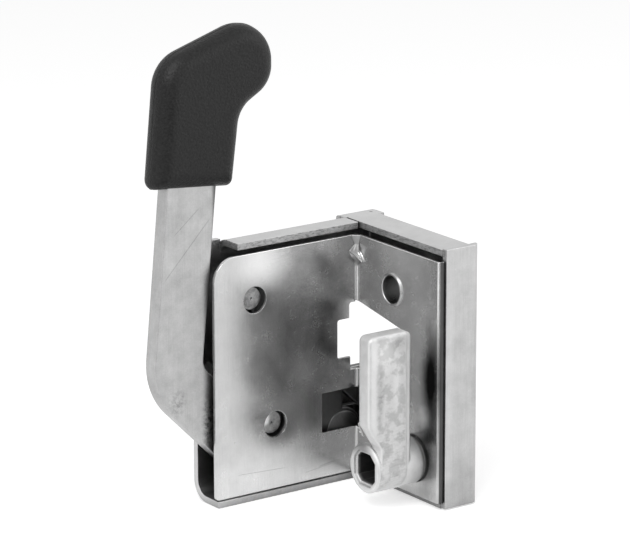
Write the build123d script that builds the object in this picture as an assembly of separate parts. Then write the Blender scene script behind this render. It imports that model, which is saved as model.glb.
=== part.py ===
from build123d import *
import os
from math import atan2, cos, hypot, pi, radians, sin, sqrt

# Anti-burst lock: an L-shaped sheet steel lock with a hand lever and a swinging tongue.
#
# It is drawn in its own workshop frame. x runs along the lever arm, y along the tongue arm
# and z upwards. x = 0 and y = 0 are the visible faces of the inner cover, which meet in the
# inner corner, and z = 0 is the underside of the casing. All sizes are millimetres.
# The last lines turn the lock half round and put the fixing hole at the origin.

# Outer casing, a folded tray of thick sheet
CASING_SHEET = 3.0
CASING_HEIGHT = 122.0
LEVER_ARM_LENGTH = 78.5
LEVER_ARM_DEPTH = 19.0
LEVER_ARM_LOW_RADIUS = 9.5
LEVER_ARM_TOP_RADIUS = 8.0
TONGUE_ARM_DEPTH = 22.2
TONGUE_ARM_RADIUS = 3.6
TONGUE_ARM_SETBACK = 3.3
OUTER_CORNER_RADIUS = 4.0
CORNER_TAB_WIDTH = 20.4
CORNER_TAB_DEPTH = 10.0
CORNER_TAB_RADIUS = 2.0
TOP_FLANGE_SETBACK = 2.0
TOP_FLANGE_SHORTFALL = 13.5
LOW_FLANGE_PROUD = 1.0
BARE_WALL_DROP = 0.6
END_FLANGE_RISE = 0.6
END_FLANGE_BEND_RADIUS = 3.2
END_FLANGE_GAP = 0.4
FLANGE_SLOT_WIDTH = 1.3
FLANGE_SLOT_LENGTH = 12.0

# Inner cover, a thin bright angle plate
COVER_SHEET = 1.5
COVER_FLOOR_GAP = 0.3
COVER_HEAD_GAP = 2.0
COVER_OVERHANG = 0.8
COVER_END_STEP = 1.1
COVER_INSIDE_BEND = 1.5
COVER_TOP_RADIUS = 11.5
COVER_LOW_RADIUS = 2.0
COVER_LIP_GAP = 0.3
GUSSET_TOP_WIDTH = 2.9
GUSSET_WAIST_WIDTH = 1.3
GUSSET_WAIST_DROP = 4.4
GUSSET_LEVER_WIDTH = 4.6
GUSSET_LEVER_DROP = 7.2
GUSSET_TONGUE_WIDTH = 5.6
GUSSET_TONGUE_DROP = 12.2
GUSSET_FOOT_WIDTH = 0.9
GUSSET_DROP = 14.2

# Corner opening for the striker, through the cover and through the casing behind it
OPENING_LOW = 52.7
OPENING_HIGH = 85.0
OPENING_TONGUE_HIGH = 85.6
OPENING_SIDE = 4.3
OPENING_FOOT_SIDE = 3.7
OPENING_STEP_SIDE = 11.0
OPENING_STEP_LOW = 59.0
OPENING_STEP_HIGH = 77.6
OPENING_REACH = 38.0
OPENING_SLOPE = 0.18
OPENING_RADIUS = 1.3
CASING_OPENING_LOW = 48.0
CASING_OPENING_HIGH = 84.0
CASING_OPENING_SIDE = 12.0

# Inspection window in front of the link rivet
WINDOW_LOW = 24.8
WINDOW_HIGH = 44.0
WINDOW_SIDE = 19.9
WINDOW_REACH = 6.0

# Lever pivot and spring anchor, two shouldered pins riveted into the casing
PIVOT_X = 46.1
PIVOT_Z = 34.2
ANCHOR_X = 57.1
ANCHOR_Z = 95.0
PIN_RADIUS = 5.75
PIN_SPIGOT_RADIUS = 4.0
PIN_RECESS = 3.5
PIN_CENTRE_RADIUS = 0.6
PIN_EDGE = 0.5
PIN_HOLE_CLEARANCE = 0.5

# Hand lever, a flat bar bent on edge, with a broad inner arm
LEVER_WIDTH = 26.0
LEVER_THICKNESS = 8.0
LEVER_FRONT_GAP = 2.8
LEVER_LEAN = 5.5
LEVER_KNEE_X = 96.4
LEVER_KNEE_Z = 61.9
LEVER_KNEE_INSIDE_RADIUS = 8.0
LEVER_TOP = 196.0
LEVER_EDGE = 0.3
LEVER_BOSS_RADIUS = 18.0
LEVER_HEEL_RADIUS = 9.0
LEVER_EYE_RADIUS = 10.5
LEVER_EAR_TOP = 45.0
LEVER_EAR_END = -4.0
LEVER_EAR_RADIUS = 3.0
LEVER_LAP_THICKNESS = 4.4
LEVER_LAP_LENGTH = 12.5
LEVER_TRAVEL = 45.0

# Black grip, moulded over the top of the bar
GRIP_DEPTH = 17.0
GRIP_EDGE = 8.0
GRIP_MOUTH_RADIUS = 2.5
GRIP_BACK_X = 108.9
GRIP_BACK_Z = 152.4
GRIP_HEEL_X = 103.3
GRIP_HEEL_Z = 209.6
GRIP_HEEL_RADIUS = 17.8
GRIP_TOE_X = 43.8
GRIP_TOE_TOP_Z = 228.1
GRIP_TOE_TOP_RADIUS = 17.8
GRIP_TOE_LOW_Z = 193.2
GRIP_TOE_LOW_RADIUS = 14.8
GRIP_INSTEP_X = 61.5
GRIP_INSTEP_Z = 183.1
GRIP_INSTEP_RADIUS = 12.7
GRIP_FRONT_X = 66.0
GRIP_FRONT_Z = 148.5
GRIP_BAR_CLEARANCE = 0.1

# Pivot parts
BUSH_WALL = 2.2
RUNNING_CLEARANCE = 0.06
PIVOT_WASHER_RADIUS = 11.0
SPACER_RADIUS = 9.0
FACE_GAP = 0.1

# Link rivet and link
RIVET_X = 5.0
RIVET_Z = 23.0
RIVET_RADIUS = 5.0
RIVET_HEAD_RADIUS = 9.0
RIVET_HEAD_HEIGHT = 2.1
RIVET_TAIL_RADIUS = 7.5
RIVET_TAIL_HEIGHT = 2.3
LINK_WASHER_THICKNESS = 1.0
LINK_SHEET = 3.0
LINK_EYE_RADIUS = 9.0
LINK_LEG_SETBACK = 11.0
LINK_LEG_TOP = 32.0
LINK_BEND_RADIUS = 4.0
LINK_SLOT_CLEARANCE = 0.45
LINK_SLOT_WALL = 3.4

# Locking tongue, a casting with hub, blade and square socket
HUB_Y = 42.3
HUB_Z = 20.1
HUB_RADIUS = 11.5
HUB_LENGTH = 26.7
HUB_END_DISTANCE = 21.1
HUB_EDGE = 0.8
HUB_FLAT = 9.8
SOCKET_SIZE = 14.0
SOCKET_CORNER = 2.6
SOCKET_MOUTH_SIZE = 16.2
SOCKET_MOUTH_CORNER = 3.9
SOCKET_MOUTH_DEPTH = 1.3
HUB_STEP = 0.3
HUB_SHOULDER = 1.4
BLADE_THICKNESS = 8.8
BLADE_SETBACK = 0.2
BLADE_START = 8.4
BLADE_REACH = 32.1
BLADE_TOP = 85.0
BLADE_CORNER_RADIUS = 3.0
BLADE_EDGE = 1.5
BLADE_RIM_WIDTH = 2.8
BLADE_FOOT = 24.9
BLADE_FOOT_RADIUS = 3.0
BLADE_TOE_HEIGHT = 43.0
BLADE_TOE_RADIUS = 5.0
NECK_RADIUS = 10.6
NECK_CLEARANCE = 0.4
JOURNAL_RADIUS = 9.7
JOURNAL_END_GAP = 0.5

# Crank on the tongue's shaft
CRANK_RADIUS = 42.9
CRANK_REST_ANGLE = 11.0
CRANK_THICKNESS = 5.0
CRANK_HUB_RADIUS = 16.0
CRANK_EYE_RADIUS = 7.0
CRANK_LINK_GAP = 0.7
CRANK_PIN_RADIUS = 3.5
CRANK_PIN_END_GAP = 0.7
CRANK_CLEARANCE = 0.05

# Flanged shaft bush in the back of the casing, and the circlip sunk in its outer end
SHAFT_BUSH_RADIUS = 14.5
SHAFT_BUSH_FLANGE_RADIUS = 16.5
SHAFT_BUSH_FLANGE = 2.4
SHAFT_BUSH_SINK_RADIUS = 12.9
SHAFT_BUSH_SINK_DEPTH = 2.3
CIRCLIP_THICKNESS = 1.2
CIRCLIP_WIDTH = 2.2
CIRCLIP_GROOVE = 0.8
CIRCLIP_GROOVE_CLEARANCE = 0.05
CIRCLIP_MOUTH = 50.0
CIRCLIP_LUG_RADIUS = 1.3
CIRCLIP_LUG_HOLE_RADIUS = 0.7

# Fixing tube, rolled over the cover
FIXING_Y = 27.0
FIXING_Z = 96.7
FIXING_BORE = 13.0
FIXING_TUBE_WALL = 1.3
FIXING_LIP = 0.8
FIXING_FIT = 0.03

# Torsion spring that holds the lever upright
SPRING_WIRE = 1.1
SPRING_COIL_CLEARANCE = 0.7
SPRING_WHOLE_TURNS = 1
SPRING_COIL_LENGTH = 2.2
SPRING_END_EASE = 0.9
SPRING_LEG_OVERRUN = 7.0
SPRING_LEG_POINTS = 8
SPRING_COIL_POINTS = 60
SPRING_BEND_POINTS = 4
SPRING_HOOK_X = 66.0
SPRING_HOOK_Z = 54.0
SPRING_HOOK_DEPTH = 4.0
SPRING_HOOK_BEND = 1.2
SPRING_HOLE_CLEARANCE = 0.5

# Planes that follow from the sizes above
BACK_Y = -LEVER_ARM_DEPTH
BACK_X = -TONGUE_ARM_DEPTH
WALL_Y = BACK_Y + CASING_SHEET
WALL_X = BACK_X + CASING_SHEET
TONGUE_ARM_LENGTH = HUB_Y + HUB_END_DISTANCE
END_WALL_Y = TONGUE_ARM_LENGTH - CASING_SHEET
COVER_LEVER_LENGTH = LEVER_ARM_LENGTH + COVER_OVERHANG
COVER_TONGUE_LENGTH = TONGUE_ARM_LENGTH - COVER_END_STEP
TOP_FLANGE_LENGTH = LEVER_ARM_LENGTH - TOP_FLANGE_SHORTFALL
CEILING_Z = CASING_HEIGHT - CASING_SHEET
COVER_LOW = CASING_SHEET + COVER_FLOOR_GAP
COVER_HIGH = CEILING_Z - COVER_HEAD_GAP
LEVER_FRONT = -COVER_SHEET - LEVER_FRONT_GAP
LEVER_BACK = LEVER_FRONT - LEVER_THICKNESS
LEVER_LAP_BACK = LEVER_FRONT - LEVER_LAP_THICKNESS
LINK_FRONT = LEVER_LAP_BACK - LINK_WASHER_THICKNESS - 2 * RUNNING_CLEARANCE
LINK_BACK = LINK_FRONT - LINK_SHEET
LINK_LEG_FRONT = RIVET_X - LINK_LEG_SETBACK
LINK_LEG_BACK = LINK_LEG_FRONT - LINK_SHEET
LEVER_RADIUS = hypot(PIVOT_X - RIVET_X, PIVOT_Z - RIVET_Z)
LINK_FARTHEST = LEVER_RADIUS - (PIVOT_X - RIVET_X)
CRANK_FRONT = LINK_LEG_BACK - LINK_FARTHEST - CRANK_LINK_GAP
CRANK_BACK = CRANK_FRONT - CRANK_THICKNESS
CRANK_PIN_Y = HUB_Y - CRANK_RADIUS * cos(radians(CRANK_REST_ANGLE))
CRANK_PIN_Z = HUB_Z - CRANK_RADIUS * sin(radians(CRANK_REST_ANGLE))
BUSH_RADIUS = PIN_RADIUS + RUNNING_CLEARANCE + BUSH_WALL
FIXING_TUBE_RADIUS = FIXING_BORE / 2 + FIXING_TUBE_WALL
CIRCLIP_FRONT = BACK_X + SHAFT_BUSH_SINK_DEPTH - CIRCLIP_GROOVE_CLEARANCE * 2
CIRCLIP_BACK = CIRCLIP_FRONT - CIRCLIP_THICKNESS
FAR = 400.0


def block(x, y, z):
    """A box from three pairs of limits."""
    size = [high - low for low, high in (x, y, z)]
    return Pos(x[0], y[0], z[0]) * Box(*size, align=(Align.MIN, Align.MIN, Align.MIN))


def seen_from_lever_face(shape, front, back):
    """Extrude a drawing of x and z through the lever arm, from y = front back to y = back."""
    plane = Plane(origin=(0, front, 0), x_dir=(1, 0, 0), z_dir=(0, -1, 0))
    return extrude(plane * shape, amount=front - back)


def seen_from_tongue_face(shape, front, back):
    """Extrude a drawing of y and z through the tongue arm, from x = front back to x = back."""
    plane = Plane(origin=(back, 0, 0), x_dir=(0, 1, 0), z_dir=(1, 0, 0))
    return extrude(plane * shape, amount=front - back)


def outline(points, radii=()):
    """A closed outline with the named corners rounded."""
    face = make_face(Polyline(*points, close=True))
    for index, radius in radii:
        corner = Vector(*points[index])
        vertex = min(face.vertices(), key=lambda v: (Vector(v.X, v.Y) - corner).length)
        face = fillet(vertex, radius)
    return face


def pin_along_y(x, z, radius, front, back):
    return seen_from_lever_face(Pos(x, z) * Circle(radius), front, back)


def pin_along_x(y, z, radius, front, back):
    return seen_from_tongue_face(Pos(y, z) * Circle(radius), front, back)


def lever_side_space(grow, top_radius, top):
    """The long arm's section, drawn in by grow, with the given radius at its top."""
    y0 = BACK_Y + grow
    corners = [(0, LEVER_ARM_LOW_RADIUS - grow)]
    if top_radius > grow:
        corners.append((3, top_radius - grow))
    face = outline([(y0, grow), (FAR, grow), (FAR, top - grow), (y0, top - grow)], corners)
    return seen_from_tongue_face(face, FAR, -FAR)


def tray_space(grow):
    """The room inside the casing's outer skin, drawn in by grow on its closed sides."""
    x0 = BACK_X + grow
    y0 = BACK_Y + grow
    low = grow
    high = CASING_HEIGHT - grow
    lever_side = lever_side_space(grow, LEVER_ARM_TOP_RADIUS, CASING_HEIGHT)
    lever_side &= block((-TONGUE_ARM_SETBACK, TOP_FLANGE_LENGTH), (y0, FAR), (low, high))
    bare_wall = lever_side_space(grow, 0, CASING_HEIGHT - BARE_WALL_DROP)
    bare_wall &= block((TOP_FLANGE_LENGTH, FAR), (y0, FAR), (low, FAR))
    face = outline(
        [(x0, low), (FAR, low), (FAR, high), (x0, high)],
        [(0, TONGUE_ARM_RADIUS - grow), (3, TONGUE_ARM_RADIUS - grow)],
    )
    tongue_side = seen_from_lever_face(face, FAR, -FAR)
    tongue_side &= block((x0, FAR), (BACK_Y + CORNER_TAB_DEPTH, FAR), (low, high))
    tab = outline(
        [
            (BACK_X + CORNER_TAB_WIDTH, y0),
            (x0, y0),
            (x0, BACK_Y + CORNER_TAB_DEPTH),
            (BACK_X + CORNER_TAB_WIDTH, BACK_Y + CORNER_TAB_DEPTH),
        ],
        [(1, OUTER_CORNER_RADIUS - grow)],
    )
    corner = extrude(Pos(0, 0, low) * tab, amount=high - low)
    rounded = lever_side_space(grow, CORNER_TAB_RADIUS, CASING_HEIGHT)
    corner &= rounded
    return lever_side + bare_wall + tongue_side + corner


def end_flange():
    """The flange that closes the end of the tongue arm, bent round an upright line."""
    plan = outline(
        [
            (BACK_X, END_WALL_Y - END_FLANGE_GAP),
            (BACK_X, TONGUE_ARM_LENGTH),
            (-TONGUE_ARM_SETBACK, TONGUE_ARM_LENGTH),
            (-TONGUE_ARM_SETBACK, END_WALL_Y),
            (WALL_X, END_WALL_Y),
            (WALL_X, END_WALL_Y - END_FLANGE_GAP),
        ],
        [(1, END_FLANGE_BEND_RADIUS)],
    )
    return extrude(Pos(0, 0, END_FLANGE_RISE) * plan, amount=CASING_HEIGHT)


def outer_casing():
    shell = tray_space(0) - tray_space(CASING_SHEET)
    top = CASING_HEIGHT + 1
    arms = block((-FAR, LEVER_ARM_LENGTH), (-FAR, LOW_FLANGE_PROUD), (0, top))
    tray_end = END_WALL_Y - END_FLANGE_GAP
    arms += block((-FAR, -TONGUE_ARM_SETBACK), (-FAR, tray_end), (0, top))
    shell &= arms
    shell += end_flange()
    above_ceiling = (CEILING_Z - 1, top)
    past_slot = -TONGUE_ARM_SETBACK + FLANGE_SLOT_WIDTH
    shell -= block((past_slot, FAR), (-TOP_FLANGE_SETBACK, FAR), above_ceiling)
    shell -= block((TOP_FLANGE_LENGTH, FAR), (WALL_Y, FAR), above_ceiling)
    slot_x = (-TONGUE_ARM_SETBACK, past_slot)
    for slot_z in ((CEILING_Z - 1, top), (-1, CASING_SHEET + 1)):
        shell -= block(slot_x, (-FLANGE_SLOT_LENGTH, FAR), slot_z)
    shell -= block(
        (BACK_X - 1, CASING_OPENING_SIDE),
        (BACK_Y - 1, WALL_Y + 1),
        (CASING_OPENING_LOW, CASING_OPENING_HIGH),
    )
    shell -= block(
        (BACK_X - 1, WALL_X + 1),
        (BACK_Y - 1, OPENING_REACH),
        (CASING_OPENING_LOW, CASING_OPENING_HIGH),
    )
    for x, z in ((PIVOT_X, PIVOT_Z), (ANCHOR_X, ANCHOR_Z)):
        shell -= pin_along_y(x, z, PIN_SPIGOT_RADIUS, WALL_Y + 1, BACK_Y - 1)
    shell -= pin_along_x(HUB_Y, HUB_Z, SHAFT_BUSH_RADIUS, WALL_X + 1, BACK_X - 1)
    shell -= pin_along_x(FIXING_Y, FIXING_Z, FIXING_TUBE_RADIUS + FIXING_FIT, WALL_X + 1, BACK_X - 1)
    return shell


def inner_cover():
    edge = -COVER_SHEET
    plan = outline(
        [
            (COVER_LEVER_LENGTH, 0),
            (0, 0),
            (0, COVER_TONGUE_LENGTH),
            (-TONGUE_ARM_SETBACK + COVER_LIP_GAP, COVER_TONGUE_LENGTH),
            (-TONGUE_ARM_SETBACK + COVER_LIP_GAP, COVER_TONGUE_LENGTH - COVER_SHEET),
            (edge, COVER_TONGUE_LENGTH - COVER_SHEET),
            (edge, edge),
            (COVER_LEVER_LENGTH, edge),
        ],
        [(1, COVER_INSIDE_BEND), (2, COVER_SHEET), (6, COVER_INSIDE_BEND + COVER_SHEET)],
    )
    plate = extrude(Pos(0, 0, COVER_LOW) * plan, amount=COVER_HIGH - COVER_LOW)
    lever_face = outline(
        [
            (-FAR, COVER_LOW),
            (COVER_LEVER_LENGTH, COVER_LOW),
            (COVER_LEVER_LENGTH, COVER_HIGH),
            (-FAR, COVER_HIGH),
        ],
        [(1, COVER_LOW_RADIUS), (2, COVER_TOP_RADIUS)],
    )
    plate &= seen_from_lever_face(lever_face, FAR, -FAR)
    plate += corner_gusset()
    plate -= opening_on_lever_face(1, edge - 1)
    plate -= opening_on_tongue_face(1, edge - 1)
    window = block((edge - 1, WINDOW_SIDE), (edge - 1, 1), (WINDOW_LOW, WINDOW_HIGH))
    window += block((edge - 1, 1), (edge - 1, WINDOW_REACH), (WINDOW_LOW, WINDOW_HIGH))
    plate -= window
    for x, z in ((PIVOT_X, PIVOT_Z), (ANCHOR_X, ANCHOR_Z)):
        plate -= pin_along_y(x, z, PIN_RADIUS + PIN_HOLE_CLEARANCE, 1, edge - 1)
    plate -= pin_along_x(HUB_Y, HUB_Z, NECK_RADIUS + NECK_CLEARANCE, 1, edge - 1)
    plate -= pin_along_x(FIXING_Y, FIXING_Z, FIXING_TUBE_RADIUS + FIXING_FIT, 1, edge - 1)
    return plate


def gusset_section(lever_width, tongue_width, drop):
    """A corner web that reaches those widths along the two faces, at that depth below the top."""
    root = COVER_SHEET * 0.6
    lever_end = (lever_width * (1 + root / tongue_width), -root)
    tongue_end = (-root, tongue_width * (1 + root / lever_width))
    web = make_face(Polyline((-root, -root), lever_end, tongue_end, close=True))
    return Pos(0, 0, COVER_HIGH - drop) * web


def corner_gusset():
    """The dart pinched into the cover's bend: narrow at its top, then wide and slanting."""
    sections = [
        gusset_section(GUSSET_FOOT_WIDTH, GUSSET_FOOT_WIDTH, GUSSET_DROP),
        gusset_section(GUSSET_WAIST_WIDTH, GUSSET_TONGUE_WIDTH, GUSSET_TONGUE_DROP),
        gusset_section(GUSSET_LEVER_WIDTH, GUSSET_WAIST_WIDTH + GUSSET_FOOT_WIDTH, GUSSET_LEVER_DROP),
        gusset_section(GUSSET_WAIST_WIDTH, GUSSET_WAIST_WIDTH, GUSSET_WAIST_DROP),
        gusset_section(GUSSET_TOP_WIDTH, GUSSET_TOP_WIDTH, 0),
    ]
    return loft(sections, ruled=True)


def opening_on_lever_face(front, back):
    """The stepped part of the striker opening, left of the bend."""
    face = outline(
        [
            (-FAR, OPENING_LOW),
            (OPENING_FOOT_SIDE, OPENING_LOW),
            (OPENING_FOOT_SIDE, OPENING_STEP_LOW),
            (OPENING_STEP_SIDE, OPENING_STEP_LOW),
            (OPENING_STEP_SIDE, OPENING_STEP_HIGH),
            (OPENING_SIDE, OPENING_STEP_HIGH),
            (OPENING_SIDE, OPENING_HIGH),
            (-FAR, OPENING_HIGH),
        ],
        [(3, OPENING_RADIUS), (4, OPENING_RADIUS), (6, OPENING_RADIUS)],
    )
    return seen_from_lever_face(face, front, back)


def opening_on_tongue_face(front, back):
    """The part of the striker opening right of the bend, whose top edge falls away."""
    face = outline(
        [
            (-COVER_SHEET - 1, OPENING_LOW),
            (OPENING_REACH, OPENING_LOW),
            (OPENING_REACH, OPENING_TONGUE_HIGH - OPENING_SLOPE * OPENING_REACH),
            (0, OPENING_TONGUE_HIGH),
            (-COVER_SHEET - 1, OPENING_TONGUE_HIGH),
        ],
        [(1, OPENING_RADIUS), (2, OPENING_RADIUS)],
    )
    return seen_from_tongue_face(face, front, back)


def shouldered_pin(x, z):
    """A round pin with a thinner spigot riveted through the casing's back wall."""
    pin = pin_along_y(x, z, PIN_RADIUS, -PIN_RECESS, WALL_Y)
    pin = chamfer(pin.edges().group_by(Axis.Y)[-1], PIN_EDGE)
    pin += pin_along_y(x, z, PIN_SPIGOT_RADIUS, WALL_Y, BACK_Y)
    pin -= pin_along_y(x, z, PIN_CENTRE_RADIUS, -PIN_RECESS, -PIN_RECESS - PIN_CENTRE_RADIUS)
    return pin


def ring_along_y(x, z, outside, inside, front, back):
    return seen_from_lever_face(Pos(x, z) * (Circle(outside) - Circle(inside)), front, back)


def lever_directions():
    """Unit vectors up the bar and down the slanting arm, in x and z."""
    lean = radians(LEVER_LEAN)
    return (-sin(lean), cos(lean)), (-sin(pi / 4), -cos(pi / 4))


def bar_corners(width, top):
    """Corners of the bent bar about its knee: outside edge first, then inside edge."""
    up, down = lever_directions()
    half = width / 2
    knee = (LEVER_KNEE_X, LEVER_KNEE_Z)
    turn = atan2(up[0] * down[1] - up[1] * down[0], -(up[0] * down[0] + up[1] * down[1]))
    miter = half / cos(turn / 2)
    out = (-(up[0] + down[0]), -(up[1] + down[1]))
    size = hypot(*out)
    out = (out[0] / size, out[1] / size)
    reach = (top - LEVER_KNEE_Z) / up[1]
    arm = (knee[0] - PIVOT_X) * -down[0] + (knee[1] - PIVOT_Z) * -down[1]

    def beside(base, direction, distance, side):
        normal = (direction[1] * side, -direction[0] * side)
        return (
            base[0] + direction[0] * distance + normal[0] * half,
            base[1] + direction[1] * distance + normal[1] * half,
        )

    return [
        beside(knee, up, reach, 1),
        (knee[0] + out[0] * miter, knee[1] + out[1] * miter),
        beside(knee, down, arm, -1),
        beside(knee, down, arm, 1),
        (knee[0] - out[0] * miter, knee[1] - out[1] * miter),
        beside(knee, up, reach, -1),
    ]


def lever_outline():
    corners = bar_corners(LEVER_WIDTH, LEVER_TOP)
    outside = LEVER_KNEE_INSIDE_RADIUS + LEVER_WIDTH
    bar = outline(corners, [(1, outside), (4, LEVER_KNEE_INSIDE_RADIUS)])
    heel = corners[2]
    eye_low = RIVET_Z - LEVER_EYE_RADIUS
    arm = outline(
        [
            heel,
            (RIVET_X, eye_low),
            (RIVET_X, LEVER_EAR_TOP - LEVER_EAR_RADIUS),
            (LEVER_EAR_END, RIVET_Z + LEVER_EYE_RADIUS),
            (LEVER_EAR_END, LEVER_EAR_TOP),
            (PIVOT_X, PIVOT_Z + LEVER_BOSS_RADIUS),
            corners[3],
        ],
        [(4, LEVER_EAR_RADIUS)],
    )
    shape = bar + arm
    shape += Pos(PIVOT_X, PIVOT_Z) * Circle(LEVER_BOSS_RADIUS)
    shape += Pos(RIVET_X, RIVET_Z) * Circle(LEVER_EYE_RADIUS)
    vertex = min(shape.vertices(), key=lambda v: hypot(v.X - heel[0], v.Y - heel[1]))
    return fillet(vertex, LEVER_HEEL_RADIUS)


def hand_lever():
    lever = seen_from_lever_face(lever_outline(), LEVER_FRONT, LEVER_BACK)
    faces = lever.faces().sort_by(Axis.Y)
    lever = chamfer(faces[0].outer_wire().edges() + faces[-1].outer_wire().edges(), LEVER_EDGE)
    lever -= block((-FAR, RIVET_X + LEVER_LAP_LENGTH), (LEVER_BACK - 1, LEVER_LAP_BACK), (0, FAR))
    lever -= pin_along_y(PIVOT_X, PIVOT_Z, BUSH_RADIUS, 0, LEVER_BACK - 1)
    lever -= pin_along_y(RIVET_X, RIVET_Z, RIVET_RADIUS, 0, LEVER_BACK - 1)
    hole = SPRING_WIRE / 2 + SPRING_HOLE_CLEARANCE
    lever -= pin_along_y(SPRING_HOOK_X, SPRING_HOOK_Z, hole, LEVER_BACK + SPRING_HOOK_DEPTH, LEVER_BACK - 1)
    return lever


def lever_grip():
    """A boot-shaped handle: a straight shaft on the bar and a toe that leans over the lock."""
    shape = outline(
        [
            (GRIP_BACK_X, GRIP_BACK_Z),
            (GRIP_HEEL_X, GRIP_HEEL_Z),
            (GRIP_TOE_X, GRIP_TOE_TOP_Z),
            (GRIP_TOE_X, GRIP_TOE_LOW_Z),
            (GRIP_INSTEP_X, GRIP_INSTEP_Z),
            (GRIP_FRONT_X, GRIP_FRONT_Z),
        ],
        [
            (0, GRIP_MOUTH_RADIUS),
            (1, GRIP_HEEL_RADIUS),
            (2, GRIP_TOE_TOP_RADIUS),
            (3, GRIP_TOE_LOW_RADIUS),
            (4, GRIP_INSTEP_RADIUS),
            (5, GRIP_MOUTH_RADIUS),
        ],
    )
    middle = (LEVER_FRONT + LEVER_BACK) / 2
    grip = seen_from_lever_face(shape, middle + GRIP_DEPTH / 2, middle - GRIP_DEPTH / 2)
    faces = grip.faces().sort_by(Axis.Y)
    rim = [edge for face in (faces[0], faces[-1]) for edge in face.outer_wire().edges()]
    rounded = [edge for edge in rim if edge.center().Z > GRIP_BACK_Z + GRIP_EDGE]
    grip = fillet(rounded, GRIP_EDGE)
    pocket = outline(bar_corners(LEVER_WIDTH + 2 * GRIP_BAR_CLEARANCE, LEVER_TOP + GRIP_BAR_CLEARANCE))
    grip -= seen_from_lever_face(pocket, LEVER_FRONT + GRIP_BAR_CLEARANCE, LEVER_BACK - GRIP_BAR_CLEARANCE)
    return grip


def link_rivet():
    """The mushroom-headed rivet that joins the lever's inner arm to the link."""
    head_top = LEVER_FRONT + RIVET_HEAD_HEIGHT
    sphere = (RIVET_HEAD_RADIUS**2 + RIVET_HEAD_HEIGHT**2) / (2 * RIVET_HEAD_HEIGHT)
    dome = Pos(RIVET_X, head_top - sphere, RIVET_Z) * Sphere(sphere)
    dome &= pin_along_y(RIVET_X, RIVET_Z, RIVET_HEAD_RADIUS, head_top + 1, LEVER_FRONT)
    tail = LINK_BACK - RUNNING_CLEARANCE
    shank = pin_along_y(RIVET_X, RIVET_Z, RIVET_RADIUS, LEVER_FRONT, tail - RIVET_TAIL_HEIGHT)
    foot = pin_along_y(RIVET_X, RIVET_Z, RIVET_TAIL_RADIUS, tail, tail - RIVET_TAIL_HEIGHT)
    foot = chamfer(foot.edges().group_by(Axis.Y)[0], RIVET_TAIL_HEIGHT / 2)
    return dome + shank + foot


def connecting_link():
    """A bent plate: one leg on the rivet, the other with a level slot for the crank pin."""
    half = CRANK_PIN_RADIUS + LINK_SLOT_CLEARANCE
    foot = CRANK_PIN_Z - half - LINK_SLOT_WALL
    farthest = HUB_Y - CRANK_RADIUS * cos(radians(LEVER_TRAVEL - CRANK_REST_ANGLE))
    slot_low = HUB_Y - CRANK_RADIUS - half
    slot_high = farthest + half
    leg_end = slot_high + LINK_SLOT_WALL
    plan = outline(
        [
            (RIVET_X + LINK_EYE_RADIUS, LINK_BACK),
            (LINK_LEG_BACK, LINK_BACK),
            (LINK_LEG_BACK, leg_end),
            (LINK_LEG_FRONT, leg_end),
            (LINK_LEG_FRONT, LINK_FRONT),
            (RIVET_X + LINK_EYE_RADIUS, LINK_FRONT),
        ],
        [(1, LINK_BEND_RADIUS), (4, LINK_BEND_RADIUS - LINK_SHEET)],
    )
    link = extrude(Pos(0, 0, foot) * plan, amount=LINK_LEG_TOP - foot)
    eye = outline(
        [
            (LINK_LEG_BACK, foot),
            (LINK_LEG_FRONT, foot),
            (RIVET_X, RIVET_Z - LINK_EYE_RADIUS),
            (RIVET_X, LINK_LEG_TOP),
            (LINK_LEG_BACK, LINK_LEG_TOP),
        ]
    )
    eye += Pos(RIVET_X, RIVET_Z) * Circle(LINK_EYE_RADIUS)
    link &= seen_from_lever_face(eye, FAR, BACK_Y)
    corners = [
        edge
        for edge in link.edges().filter_by(Axis.X)
        if edge.center().Y > slot_high and edge.length < 2 * LINK_SHEET
    ]
    link = fillet(corners, LINK_SLOT_WALL)
    slot = Pos((slot_low + slot_high) / 2, CRANK_PIN_Z) * SlotOverall(slot_high - slot_low, 2 * half)
    link -= seen_from_tongue_face(slot, LINK_LEG_FRONT + 1, LINK_LEG_BACK - 1)
    link -= pin_along_y(RIVET_X, RIVET_Z, RIVET_RADIUS + RUNNING_CLEARANCE, 0, BACK_Y)
    return link


def double_flat(radius, flat):
    """A round section with two flats above and below."""
    return Circle(radius) & Rectangle(2 * radius, 2 * flat)


def socket_section(size, corner):
    return Pos(HUB_Y, HUB_Z) * chamfer(Rectangle(size, size).vertices(), corner)


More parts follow.
